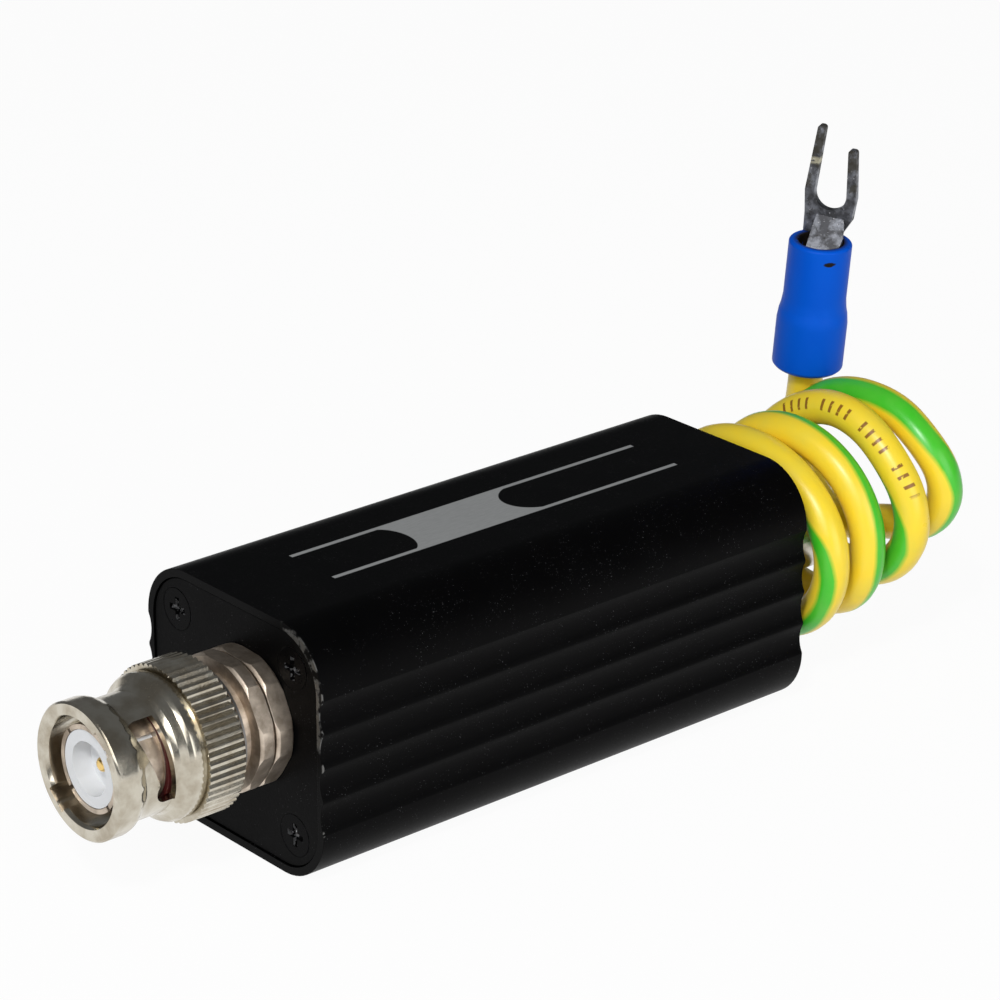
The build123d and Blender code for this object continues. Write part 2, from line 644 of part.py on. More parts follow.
# Fork terminal: rolled crimp barrel, pressed shut at its neck, which slopes back to the flat blade
blade_start = sleeve_end + blade_start_gap
blade = Plane(terminal.location * Rot(0, 0, blade_turn) * Rot(90, 0, 0))
barrel_side = Plane(origin=terminal.origin, x_dir=-blade.z_dir, z_dir=blade.x_dir)
with BuildPart() as fork_terminal:
    extrude(ring_face(terminal.offset(crimp_barrel_start + wire_gap), crimp_barrel_radius, crimp_barrel_bore),
            amount=crimp_neck_start - crimp_barrel_start)
    with BuildSketch(terminal.offset(crimp_neck_start)):
        Circle(crimp_barrel_radius)
    extrude(amount=crimp_neck_far_end - crimp_neck_start)
    with BuildSketch(barrel_side):
        with BuildLine():
            Polyline((-sleeve_lower_radius, crimp_neck_near_end), (-crimp_barrel_bore, crimp_neck_near_end),
                     (crimp_barrel_bore, crimp_neck_far_end), (-sleeve_lower_radius, crimp_neck_far_end),
                     close=True)
        make_face()
    extrude(amount=sleeve_lower_radius, both=True, mode=Mode.SUBTRACT)
    with BuildSketch(blade.offset(-crimp_barrel_bore)):
        with Locations((-crimp_neck_side, crimp_neck_start + crimp_barrel_radius)):
            Rectangle(sleeve_lower_radius, crimp_neck_far_end, align=(Align.MAX, Align.MIN))
    extrude(amount=2 * sleeve_lower_radius, mode=Mode.SUBTRACT)
    with BuildSketch(blade.offset(-crimp_barrel_radius)) as blade_outline:
        with BuildLine():
            Polyline((blade_neck_offset - blade_neck_width / 2, blade_start),
                     (-blade_shoulder_width / 2, blade_shoulder_height), (-fork_width / 2, fork_root_height),
                     (-fork_tip_width / 2, fork_tip_height), (fork_tip_width / 2, fork_tip_height),
                     (fork_width / 2, fork_root_height),
                     (blade_shoulder_width / 2, blade_shoulder_height),
                     (blade_neck_offset + blade_neck_width / 2, blade_start), close=True)
        make_face()
        with Locations((0, fork_root_height)):
            Circle(fork_slot_width / 2, mode=Mode.SUBTRACT)
        with BuildLine():
            Polyline((-fork_slot_width / 2, fork_root_height), (-fork_tip_gap / 2, fork_tip_height + 1),
                     (fork_tip_gap / 2, fork_tip_height + 1), (fork_slot_width / 2, fork_root_height), close=True)
        make_face(mode=Mode.SUBTRACT)
        with Locations((0, fork_short_tip_height)):
            Rectangle(fork_width, fork_tip_height, align=(Align.MIN, Align.MIN), mode=Mode.SUBTRACT)
        fillet(blade_outline.vertices().group_by(Axis.Y)[-1], fork_tip_round)
        fillet(blade_outline.vertices().filter_by_position(Axis.Y, fork_short_tip_height - 0.01,
                                                           fork_short_tip_height + 0.01), fork_tip_round)
    extrude(amount=blade_thickness)

# Circuit board on its rails, and the parts soldered through it
board_front = front_y + board_setback
board_rear = rear_y - board_setback
board_half_width = bore_width / 2 - board_side_gap
diode_x = board_half_width - diode_inset
resistor_x = board_half_width - resistor_inset
tube_place = (0, middle_y + tube_arrestor_y)
diode_places = [(-diode_x, middle_y + diode_y), (diode_x, middle_y + diode_y)]
resistor_places = [(-resistor_x, middle_y + resistor_y), (resistor_x, middle_y + resistor_y)]
signal_holes = [(axis_x, board_front + signal_hole_inset), (axis_x, board_rear - signal_hole_inset)]
with BuildPart() as gas_discharge_tube:
    add(soldered_part(*tube_place, tube_arrestor))
with BuildPart() as suppressor_diodes:
    for place in diode_places:
        add(soldered_part(*place, diode))
with BuildPart() as series_resistors:
    for place in resistor_places:
        add(soldered_part(*place, resistor))
with BuildPart() as circuit_board:
    with BuildSketch(Plane.XY.offset(board_bottom)):
        with Locations((0, (board_front + board_rear) / 2)):
            Rectangle(2 * board_half_width, board_rear - board_front)
        with Locations(*signal_holes, *lead_places(*tube_place, tube_arrestor),
                       *lead_places(*diode_places[0], diode), *lead_places(*diode_places[1], diode),
                       *lead_places(*resistor_places[0], resistor), *lead_places(*resistor_places[1], resistor)):
            Circle(lead_radius + solder_gap, mode=Mode.SUBTRACT)
    extrude(amount=board_thickness)

# Leads from each connector's solder cup down through the board
lead_end = board_bottom - solder_length
front_cup_y = front_y - cup_end - 0.8 * solder_cup_depth
rear_cup_y = rear_y - jack_shank_length - solder_cup_length + 0.8 * solder_cup_depth
with BuildPart() as front_signal_lead:
    add(round_wire([(axis_x, front_cup_y, axis_z), (*signal_holes[0], axis_z), (*signal_holes[0], lead_end)],
                   lead_radius))
with BuildPart() as rear_signal_lead:
    add(round_wire([(axis_x, rear_cup_y, axis_z), (*signal_holes[1], axis_z), (*signal_holes[1], lead_end)],
                   lead_radius))

# Bare core of the earth wire, turned back through the hole in the earth tag
tag_hole_radius = earth_tag_reach - earth_tag_width / 2
tag_hole_x = axis_x + tag_hole_radius * cos(radians(earth_tag_angle))
tag_hole_z = axis_z + tag_hole_radius * sin(radians(earth_tag_angle))
with BuildPart() as inner_earth_lead:
    add(round_wire([(grommet_x, rear_y - wire_inside - wire_gap, grommet_z),
                    (grommet_x, rear_y - core_reach, grommet_z), (tag_hole_x, rear_y - core_reach, tag_hole_z),
                    (tag_hole_x, rear_y + tag_back + 1.5 * earth_tag_thickness, tag_hole_z)],
                   wire_core_radius))

nodes = dict(
    housing_shell=housing_shell, **plates, **screws, plug_body=plug_body, plug_panel_nut=plug_panel_nut,
    plug_lock_washer=plug_lock_washer, plug_inner_nut=plug_inner_nut, plug_insulator=plug_insulator,
    plug_centre_pin=plug_centre_pin, plug_gasket=plug_gasket, plug_spring_washer=plug_spring_washer,
    plug_retaining_ring=plug_retaining_ring, thrust_washer=thrust_washer, coupling_sleeve=coupling_sleeve,
    jack_body=jack_body, jack_insulator=jack_insulator, jack_centre_contact=jack_centre_contact,
    jack_lock_washer=jack_lock_washer, earth_tag=earth_tag, jack_nut=jack_nut, wire_grommet=wire_grommet,
    earth_wire_lead=earth_wire_lead, earth_wire_coil=earth_wire_coil, earth_wire_tail=earth_wire_tail,
    terminal_sleeve=terminal_sleeve, fork_terminal=fork_terminal, circuit_board=circuit_board,
    gas_discharge_tube=gas_discharge_tube, suppressor_diodes=suppressor_diodes,
    series_resistors=series_resistors, front_signal_lead=front_signal_lead,
    rear_signal_lead=rear_signal_lead, inner_earth_lead=inner_earth_lead)
for node_name, node in nodes.items():
    node.part.label = node_name
    export_step(node.part, f"parts/{node_name}.step")
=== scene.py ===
"""Looks of an in-line video surge protector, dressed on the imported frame.

A black fluted housing carries a nickel bayonet plug, a bayonet jack and a coiled earth wire that ends in
a blue insulated fork. Lengths are in millimetres here and become metres where Blender is given them.
"""
from __future__ import annotations

import logging
from dataclasses import dataclass
from enum import Enum
from math import atan2, cos, pi, radians, sin

import bpy
from mathutils import Matrix, Vector

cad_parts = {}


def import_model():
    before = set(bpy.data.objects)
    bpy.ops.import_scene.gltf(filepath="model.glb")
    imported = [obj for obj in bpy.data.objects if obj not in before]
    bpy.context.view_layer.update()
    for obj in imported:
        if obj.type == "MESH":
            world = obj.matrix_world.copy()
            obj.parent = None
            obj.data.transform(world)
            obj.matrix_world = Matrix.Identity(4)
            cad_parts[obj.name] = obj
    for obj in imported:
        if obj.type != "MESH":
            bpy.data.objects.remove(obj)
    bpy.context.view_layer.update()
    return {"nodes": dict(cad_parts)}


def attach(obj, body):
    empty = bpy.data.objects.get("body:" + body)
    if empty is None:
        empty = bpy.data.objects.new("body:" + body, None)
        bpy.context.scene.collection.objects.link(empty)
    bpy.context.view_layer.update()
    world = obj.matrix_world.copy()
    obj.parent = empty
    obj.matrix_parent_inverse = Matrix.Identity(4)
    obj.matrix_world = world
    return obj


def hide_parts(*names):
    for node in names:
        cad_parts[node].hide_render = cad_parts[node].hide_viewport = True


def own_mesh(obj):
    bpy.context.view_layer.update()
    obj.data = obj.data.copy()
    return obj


LOG = logging.getLogger("surge_protector")
MM = 0.001

# Places that the source of the solids works out from its own sizes
FRONT_Y = -25.33
REAR_Y = 33.67
MIDDLE_Y = 4.17
HOUSING_TOP = 24.5
HALF_WIDTH = 12.65
OBJECT_MIDDLE = (0.0, MIDDLE_Y, HOUSING_TOP / 2)
TERMINAL_ORIGIN = (-4.25, REAR_Y + 16.5, 25.95)
TERMINAL_LEAN = 5.4
WHITE = (1.0, 1.0, 1.0, 1.0)

# Way of the earth wire from inside the grommet to the first turn: distance behind the housing, and height
LEAD_X = -8.0
LEAD = ((-4.0, 11.6), (-1.6, 11.6), (0.6, 11.6), (2.6, 12.7), (3.5, 15.6))

# Turns of the earth wire: turns made, middle x, middle z, radius, and distance behind the housing
TURN_KEYS = (
    (-0.45, 0.6, 14.2, 9.3, 3.15), (0.0, 4.5, 14.15, 8.6, 3.2), (0.25, 4.1, 14.2, 8.2, 3.8),
    (0.72, 3.6, 14.85, 9.55, 6.55), (1.0, 3.6, 14.8, 9.8, 7.8), (1.25, 4.4, 16.2, 8.6, 8.6),
    (1.5, 5.0, 16.7, 9.25, 9.5), (1.74, 5.4, 17.0, 9.05, 11.3), (1.87, 5.25, 16.9, 8.85, 11.7),
    (2.02, 5.9, 17.3, 8.95, 12.5), (2.25, 6.1, 18.1, 8.2, 12.5), (2.5, 5.3, 17.4, 8.8, 13.0),
    (2.7, 4.8, 17.0, 9.2, 15.2), (2.86, 5.6, 17.6, 9.0, 15.9), (3.02, 6.2, 19.2, 8.4, 17.3),
    (3.25, 5.4, 19.8, 6.0, 17.3), (3.6, 5.4, 19.8, 6.0, 17.1))

# Way from the last turn up into the terminal: across, behind the housing, and up
TAIL = (
    (5.2, 17.3, 12.6), (1.8, 17.1, 11.4), (-1.6, 16.8, 12.0), (-4.0, 16.6, 14.8), (-4.9, 16.5, 18.3),
    (-4.85, 16.5, 21.6), (-4.45, 16.5, 23.8), (-4.25, 16.5, 25.95), (-3.84, 16.5, 30.33))

# Side of the wire that the stripe is on: turns made, and degrees from outwards towards the rear
STRIPE_KEYS = (
    (-1.0, -185.0), (-0.25, -185.0), (-0.09, -110.0), (-0.04, -77.0), (0.02, -56.0), (0.2, -45.0),
    (0.7, 28.0), (0.85, 32.0), (1.0, 20.0), (1.25, 40.0), (1.6, 172.0), (1.75, 180.0), (1.85, 192.0),
    (1.95, 226.0), (2.0, 255.0), (2.06, 276.0), (2.2, 282.0), (2.6, 303.0), (2.73, 312.0),
    (2.87, 338.0), (3.0, 375.0), (4.5, 385.0))

Colour = tuple[float, float, float]
Point = tuple[float, float, float]
Chart = list[tuple[float, float]]


class Body(Enum):
    """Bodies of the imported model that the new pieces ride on."""

    HOUSING = "housing"
    SLEEVE = "coupling_sleeve"


class Channel:
    """A number or colour in a material, whose operators add nodes."""

    def __init__(self, graph: Graph, socket: bpy.types.NodeSocket) -> None:
        """Keeps the graph and the socket that gives the value."""
        self.graph = graph
        self.socket = socket

    def math(self, operation: str, *others: Channel | float) -> Channel:
        """Adds a Math node.

        Args:
            operation: the Math node's operation.
            others: its further operands.

        Returns:
            The node's result.
        """
        return self.graph.node("ShaderNodeMath", {"operation": operation}, {
            index: value for index, value in enumerate((self, *others))})

    def __add__(self, other: Channel | float) -> Channel:
        """Sum."""
        return self.math("ADD", other)

    __radd__ = __add__

    def __mul__(self, other: Channel | float) -> Channel:
        """Product."""
        return self.math("MULTIPLY", other)

    __rmul__ = __mul__

    def __sub__(self, other: Channel | float) -> Channel:
        """Difference."""
        return self.math("SUBTRACT", other)

    def __rsub__(self, other: float) -> Channel:
        """Difference from a number."""
        return self.graph.node("ShaderNodeMath", {"operation": "SUBTRACT"}, {0: other, 1: self})

    def __truediv__(self, other: Channel | float) -> Channel:
        """Quotient."""
        return self.math("DIVIDE", other)

    def size(self) -> Channel:
        """Value without its sign."""
        return self.math("ABSOLUTE")

    def above(self, edge: Channel | float, soft: float) -> Channel:
        """Step up where the value passes an edge.

        Args:
            edge: the value at the middle of the step.
            soft: the width of the step.

        Returns:
            A mask from 0 to 1.
        """
        shifted = (self - edge) / soft + 0.5
        return self.graph.node("ShaderNodeClamp", {}, {0: shifted})

    def below(self, edge: Channel | float, soft: float) -> Channel:
        """Step down where the value passes an edge, with the same Args and Returns as above."""
        return 1.0 - self.above(edge, soft)

    def between(self, low: Channel | float, high: Channel | float, soft: float) -> Channel:
        """Band from low to high, as a mask with edges of the given softness."""
        return self.above(low, soft) * self.below(high, soft)


class Graph:
    """The node graph of one material."""

    def __init__(self, name: str) -> None:
        """Makes the material, with one Principled shader."""
        self.material = bpy.data.materials.new(name)
        self.material.use_nodes = True
        self.tree = self.material.node_tree
        self.tree.nodes.clear()
        self.output = self.tree.nodes.new("ShaderNodeOutputMaterial")
        self.shader = self.tree.nodes.new("ShaderNodeBsdfPrincipled")
        self.tree.links.new(self.shader.outputs[0], self.output.inputs[0])

    def connect(self, socket: bpy.types.NodeSocket, value: object) -> None:
        """Gives an input a link or a plain value.

        Args:
            socket: the input to fill.
            value: a Channel, a number or a tuple.
        """
        if isinstance(value, Channel):
            self.tree.links.new(value.socket, socket)
        elif isinstance(value, tuple) and socket.type == "RGBA" and len(value) == 3:
            socket.default_value = (*value, 1.0)
        else:
            socket.default_value = value

    def node(self, kind: str, settings: dict, inputs: dict, output: int | str = 0) -> Channel:
        """Adds any node.

        Args:
            kind: the node's type.
            settings: its options, which are set first.
            inputs: values or links by socket name or number.
            output: the socket that is returned.

        Returns:
            That output as a Channel.
        """
        made = self.tree.nodes.new(kind)
        for name, value in settings.items():
            setattr(made, name, value)
        for key, value in inputs.items():
            self.connect(made.inputs[key], value)
        return Channel(self, made.outputs[output])

    def place(self) -> Channel:
        """Place on the object, in metres."""
        return self.node("ShaderNodeTexCoord", {}, {}, "Object")

    def axes(self, vector: Channel) -> list[Channel]:
        """Three parts of a vector."""
        split = self.node("ShaderNodeSeparateXYZ", {}, {0: vector})
        return [Channel(self, split.socket.node.outputs[index]) for index in range(3)]

    def noise(self, grain: float, detail: float = 2.0, stretch: Point = (1.0, 1.0, 1.0)) -> Channel:
        """Noise of a given grain.

        Args:
            grain: the size of its blotches in millimetres.
            detail: octaves.
            stretch: factors on the three axes of the place.

        Returns:
            A value about 0.5.
        """
        vector = self.node("ShaderNodeVectorMath", {"operation": "MULTIPLY"},
                           {0: self.place(), 1: stretch})
        return self.node("ShaderNodeTexNoise", {}, {
            "Vector": vector, "Scale": 1.0 / (grain * MM), "Detail": detail, "Roughness": 0.55})

    def blend(self, share: Channel | float, under: object, over: object) -> Channel:
        """Mixes two colours.

        Args:
            share: how much of the second shows.
            under: the first colour.
            over: the second colour.

        Returns:
            The mixed colour.
        """
        made = self.tree.nodes.new("ShaderNodeMix")
        made.data_type = "RGBA"
        sockets = [socket for socket in made.inputs if socket.type == "RGBA"]
        self.connect(made.inputs[0], share)
        self.connect(sockets[0], under)
        self.connect(sockets[1], over)
        return Channel(self, next(socket for socket in made.outputs if socket.type == "RGBA"))

    def relief(self, height: Channel, depth: float, strength: float = 1.0) -> Channel:
        """Bump from a height.

        Args:
            height: the value that the bump follows.
            depth: what a rise of 1 stands for, in millimetres.
            strength: the node's strength.

        Returns:
            The normal.
        """
        return self.node("ShaderNodeBump", {}, {
            "Strength": strength, "Distance": depth * MM, "Height": height})

    def finish(self, **values: object) -> bpy.types.Material:
        """Fills the shader's sockets.

        Args:
            values: socket names with underscores for blanks.

        Returns:
            The finished material.
        """
        for name, value in values.items():
            self.connect(self.shader.inputs[name.replace("_", " ")], value)
        return self.material


@dataclass(frozen=True)
class Metal:
    """A plated or bare metal with stains and fine handling marks."""

    name: str
    colour: Colour
    stain: Colour
    roughness: float = 0.28
    stained: float = 0.35
    grain: float = 0.5
    relief: float = 0.001

    def material(self) -> bpy.types.Material:
        """Material of this metal."""
        graph = Graph(self.name)
        patches = graph.noise(self.grain * 4, 4.0)
        specks = graph.noise(self.grain * 0.35, 2.0)
        stain_edge = 0.62 - 0.22 * self.stained
        share = patches.above(stain_edge, 0.25) * self.stained
        tone = graph.blend(share, self.colour, self.stain)
        rough = self.roughness + (patches - 0.5) * 0.2 + (specks - 0.5) * 0.16
        return graph.finish(Base_Color=tone, Metallic=1.0, Roughness=rough,
                            Normal=graph.relief(specks, self.relief, 0.5))


@dataclass(frozen=True)
class Moulded:
    """A moulded plastic, rubber, ceramic or lacquered surface."""

    name: str
    colour: Colour
    shade: Colour
    roughness: float = 0.45
    grain: float = 0.6
    relief: float = 0.006
    coat: float = 0.0
    shine: float = 0.5

    def material(self) -> bpy.types.Material:
        """Material of this moulding."""
        graph = Graph(self.name)
        clouds = graph.noise(self.grain * 5, 3.0)
        fine = graph.noise(self.grain * 0.4, 2.0)
        tone = graph.blend(clouds.above(0.5, 0.5) * 0.6, self.colour, self.shade)
        rough = self.roughness + (clouds - 0.5) * 0.15 + (fine - 0.5) * 0.1
        return graph.finish(Base_Color=tone, Roughness=rough, Coat_Weight=self.coat, Coat_Roughness=0.15,
                            Specular_IOR_Level=self.shine, Normal=graph.relief(fine, self.relief, 0.4))


@dataclass(frozen=True)
class BlueVinyl:
    """Blue insulating sleeve: plain outside, with painted shade inside its mouth and one nick below the
    rim.
    """

    name: str = "blue_sleeve"
    colour: Colour = (0.0005, 0.078, 0.55)
    shade: Colour = (0.0005, 0.098, 0.61)
    shade_and_nick: Colour = (0.012, 0.009, 0.007)
    nick: Point = (-0.21, 48.79, 38.63)
    nick_radius: float = 0.42
    nick_along_scale: float = 0.55
    nick_height_scale: float = 1.9
    shade_radius: float = 2.55
    mouth_rise: float = 9.0
    shine: float = 0.07

    def material(self) -> bpy.types.Material:
        """Material of the sleeve."""
        graph = Graph(self.name)
        fine = graph.noise(0.4, 2.0)
        clouds = graph.noise(5.0, 3.0)
        across, along, height = [part / MM for part in graph.axes(graph.place())]
        lean = radians(TERMINAL_LEAN)
        rise = height - TERMINAL_ORIGIN[2]
        aside = (across - TERMINAL_ORIGIN[0]) * cos(lean) - rise * sin(lean)
        behind = along - TERMINAL_ORIGIN[1]
        radius = (aside * aside + behind * behind).math("SQRT")
        # Painted shade on the inner wall of the mouth, above a height and within a radius, mottled by
        # noise
        mouth = height.above(TERMINAL_ORIGIN[2] + self.mouth_rise, 2.0)
        inside = radius.below(self.shade_radius, 0.5) * mouth
        dirt_and_shade = graph.noise(0.8, 3.0)
        nick_across = across - self.nick[0]
        nick_along = (along - self.nick[1]) * self.nick_along_scale
        nick_up = (height - self.nick[2]) * self.nick_height_scale
        reach = (nick_across * nick_across + nick_along * nick_along + nick_up * nick_up).math("SQRT")
        cut = (reach + (dirt_and_shade - 0.5) * 0.5).below(self.nick_radius, 0.12)
        # Dark mask: the painted shade inside the mouth, and the nick
        dark = (inside * dirt_and_shade.above(0.30, 0.2)).math("MAXIMUM", cut)
        tone = graph.blend(clouds.above(0.5, 0.5) * 0.6, self.colour, self.shade)
        rough = 0.42 + (clouds - 0.5) * 0.15 + (fine - 0.5) * 0.1
        return graph.finish(Base_Color=graph.blend(dark, tone, self.shade_and_nick), Roughness=rough,
                            Specular_IOR_Level=self.shine,
                            Normal=graph.relief(fine * 0.1 - cut, 0.06, 0.6))


@dataclass(frozen=True)
class RecessedBlack:
    """Black oxide, with bright metal in the recesses between two depths behind the front rim: partly
    scrapes, partly painted glints.
    """

    name: str = "black_oxide"
    colour: Colour = (0.0016, 0.0016, 0.0018)
    scrape_and_glint: Colour = (0.42, 0.42, 0.43)
    bright_from: float = 0.22
    bright_to: float = 0.75
    shine: float = 0.025

    def material(self) -> bpy.types.Material:
        """Material of the screws."""
        graph = Graph(self.name)
        fine = graph.noise(0.25, 2.0)
        along = graph.axes(graph.place())[1] / MM
        # Bright metal patches in the recesses: scraped metal, and painted glints on the recess edges
        deep = along.between(FRONT_Y + self.bright_from, FRONT_Y + self.bright_to, 0.06)
        bright = deep * graph.noise(0.5, 1.0).above(0.54, 0.04)
        return graph.finish(Base_Color=graph.blend(bright, self.colour, self.scrape_and_glint), Metallic=bright,
                            Roughness=0.30 + (fine - 0.5) * 0.2, Specular_IOR_Level=self.shine,
                            Normal=graph.relief(fine, 0.004, 0.5))


@dataclass(frozen=True)
class DirtyTin:
    """Tinned copper that has tarnished: grey with dark stains, dirtiest at the tips."""

    name: str = "tinned_copper"
    clean: Colour = (0.27, 0.28, 0.31)
    tarnish: Colour = (0.075, 0.075, 0.08)
    dirt_and_shade: Colour = (0.028, 0.024, 0.014)
    worn: Colour = (0.62, 0.58, 0.42)
    glint: Colour = (0.70, 0.70, 0.72)
    blade_foot: float = 40.0
    blade_tip: float = 51.7
    worn_low: float = 47.7
    worn_high: float = 48.3
    worn_right: float = TERMINAL_ORIGIN[0] + 1.5

    def material(self) -> bpy.types.Material:
        """Material of the fork and its barrel."""
        graph = Graph(self.name)
        across, _, height = [part / MM for part in graph.axes(graph.place())]
        clouds = graph.noise(1.3, 5.0)
        grain = graph.noise(0.30, 3.0)
        blade_middle = (self.blade_foot + self.blade_tip) / 2
        tall = height.above(blade_middle, self.blade_tip - self.blade_foot)
        tone = graph.blend(clouds.above(0.50, 0.16) * 0.9, self.clean, self.tarnish)
        specks = grain.above(0.64, 0.06) * 0.6
        tone = graph.blend(specks, tone, self.dirt_and_shade)
        soiled = graph.noise(1.1, 3.0).above(0.80 - 0.42 * tall, 0.12)
        tone = graph.blend(soiled * 0.85, tone, self.dirt_and_shade)
        left = across.below(self.worn_right, 0.2)
        rubbed = height.between(self.worn_low, self.worn_high, 0.3) * left * grain.above(0.40, 0.1)
        tone = graph.blend(rubbed * 0.8, tone, self.worn)
        glints = graph.noise(0.32, 3.0).above(0.68, 0.05) * (1.0 - soiled)
        tone = graph.blend(glints * 0.55, tone, self.glint)
        rough = 0.48 + (clouds - 0.5) * 0.35 + soiled * 0.12
        return graph.finish(Base_Color=tone, Metallic=1.0 - soiled * 0.6, Roughness=rough,
                            Normal=graph.relief(grain + clouds, 0.03, 0.7))


@dataclass(frozen=True)
class TopPrint:
    """Silver band and two lines printed on the housing's top, with their places in millimetres."""

    left_line: float = -3.5
    right_line: float = 2.65
    line_width: float = 0.5
    start: float = -16.0
    end: float = 25.75
    band_start: float = -7.0
    band_end: float = 10.5
    front_bulge: float = 2.1
    rear_bulge: float = 3.6
    softness: float = 0.07
    silver: Colour = (0.25, 0.258, 0.256)
    bright_silver: Colour = (0.33, 0.335, 0.335)

    def area(self, across: Channel, along: Channel) -> Channel:
        """Mask of the band and its two lines.

        Args:
            across: place across the housing.
            along: place along it.

        Returns:
            The mask of the silver areas.
        """
        soft = self.softness
        half = self.line_width / 2
        run = along.between(self.start, self.end, soft)
        lines = (across - self.left_line).size().below(half, soft)
        lines = lines + (across - self.right_line).size().below(half, soft)
        middle = (self.left_line + self.right_line) / 2
        reach = (self.right_line - self.left_line) / 2
        round_off = (across - middle) / reach
        arch = (1.0 - round_off * round_off).math("MAXIMUM", 0.0).math("SQRT")
        inside = across.between(self.left_line, self.right_line, soft)
        front = arch * self.front_bulge + self.band_start
        rear = self.band_end - arch * self.rear_bulge
        band = inside * along.above(front, soft) * along.below(rear, soft)
        return (lines * run).math("MAXIMUM", band)


@dataclass(frozen=True)
class Anodised:
    """Satin black anodising, with the print on top and bare metal where the front rim is knocked, its
    upper corner also a painted highlight of the rim's edge.
    """

    name: str
    colour: Colour = (0.0009, 0.0009, 0.0010)
    bare_and_rim_highlight: Colour = (0.15, 0.15, 0.145)
    speck: Colour = (0.2, 0.2, 0.21)
    cloud_factor: float = 1.7
    roughness: float = 0.42
    printed: bool = False
    texture: float = 0.006
    shine: float = 0.038
    rim_depth: float = 0.09
    chip_depth: float = 0.16
    chip_width: float = 0.12
    lit_corner_right_of: float = 7.4
    lit_corner_above: float = 14.0

    def rim_wear_and_highlight(self, graph: Graph, across: Channel, along: Channel, height: Channel) -> Channel:
        """Mask of the bare metal on the front rim: one worn corner that is also a painted highlight of
        the rim's lit edge, and chips down the side.

        Args:
            graph: the material's graph.
            across: place across the housing.
            along: place along it.
            height: place above its foot.

        Returns:
            The mask of the bare metal, with the painted highlight on the corner.
        """
        edge = along.below(FRONT_Y + self.rim_depth, 0.06) * graph.noise(1.3, 4.0).above(0.50, 0.1)
        # Upper right corner of the rim: worn metal that also serves as a painted highlight of the lit
        # edge
        corner = across.above(self.lit_corner_right_of, 0.8) * height.above(self.lit_corner_above, 1.0)
        chips = across.above(HALF_WIDTH - self.chip_width, 0.08)
        chips = chips * along.below(FRONT_Y + self.chip_depth, 0.06)
        chips = chips * graph.noise(0.8, 2.0).above(0.58, 0.05)
        return (edge * corner).math("MAXIMUM", chips)

    def material(self) -> bpy.types.Material:
        """Material of the anodised metal."""
        graph = Graph(self.name)
        fine = graph.noise(0.22, 3.0)
        clouds = graph.noise(6.0, 3.0)
        across, along, height = [part / MM for part in graph.axes(graph.place())]
        cloudy = tuple(part * self.cloud_factor for part in self.colour)
        tone = graph.blend(clouds.above(0.5, 0.4) * 0.5, self.colour, cloudy)
        specks = graph.noise(0.12, 1.0).above(0.735, 0.03) * graph.noise(2.5, 2.0).above(0.5, 0.1)
        tone = graph.blend(specks * 0.35, tone, self.speck)
        metallic: Channel | float = 0.0
        rough: Channel = self.roughness + (clouds - 0.5) * 0.12 + (fine - 0.5) * 0.16
        if self.printed:
            top_print = TopPrint()
            ink = top_print.area(across, along) * height.above(HOUSING_TOP - 0.05, 0.04)
            brushed = graph.noise(0.15, 2.0, (1.0, 0.15, 1.0))
            silver = graph.blend(brushed, top_print.silver, top_print.bright_silver)
            tone = graph.blend(ink, tone, silver)
            rough = rough + ink * 0.05
            # Bare metal on the front rim: chips from wear, and a painted highlight on the worn upper
            # corner
            metallic = self.rim_wear_and_highlight(graph, across, along, height)
            tone = graph.blend(metallic, tone, self.bare_and_rim_highlight)
        return graph.finish(Base_Color=tone, Roughness=rough, Metallic=metallic,
                            Specular_IOR_Level=self.shine, Normal=graph.relief(fine, self.texture, 0.6))


@dataclass(frozen=True)
class StripedSheath:
    """Yellow wire sheath with one green stripe and plain print strokes, along the piece's own map."""

    name: str = "striped_sheath"
    yellow: Colour = (0.93, 0.66, 0.022)
    cloudy_yellow: Colour = (0.82, 0.64, 0.05)
    green: Colour = (0.036, 0.50, 0.014)
    cloudy_green: Colour = (0.09, 0.52, 0.035)
    print_brown: Colour = (0.20, 0.055, 0.007)
    print_from: float = 117.0
    print_to: float = 150.5
    print_side: float = 0.672
    print_half_height: float = 0.055
    stroke_pitch: float = 0.95
    group_pitch: float = 4.75
    share: float = 0.21
    narrow_until: float = 68.0
    narrowing: float = 0.03
    roughness: float = 0.32

    def material(self) -> bpy.types.Material:
        """Material of the sheath."""
        graph = Graph(self.name)
        chart = graph.node("ShaderNodeUVMap", {"uv_map": "sheath"}, {})
        travelled, around, _ = graph.axes(chart)
        run = travelled / MM
        clouds = graph.noise(3.0, 3.0)
        offset = (around.math("FRACT") - 0.5).size() + (clouds - 0.5) * 0.02
        near_housing = run.below(self.narrow_until, 24.0)
        stripe = offset.below(self.share / 2 - near_housing * self.narrowing, 0.045)
        cloudy = clouds.above(0.5, 0.5)
        yellow = graph.blend(cloudy, self.yellow, self.cloudy_yellow)
        green = graph.blend(cloudy, self.green, self.cloudy_green)
        strokes = (run / self.stroke_pitch).math("FRACT").between(0.3, 0.62, 0.06)
        groups = (run / self.group_pitch).math("FRACT").between(0.02, 0.78, 0.01)
        from_line = ((around - self.print_side).math("FRACT") - 0.5).size()
        band = from_line.below(self.print_half_height, 0.01)
        worn = graph.noise(0.5, 2.0).above(0.38, 0.1) * 0.9
        marks = strokes * groups * band * run.between(self.print_from, self.print_to, 0.5) * worn
        yellow = graph.blend(marks, yellow, self.print_brown)
        rough = self.roughness + (clouds - 0.5) * 0.2
        return graph.finish(Base_Color=graph.blend(stripe, yellow, green), Roughness=rough,
                            Normal=graph.relief(graph.noise(0.9, 2.0), 0.03, 0.3))


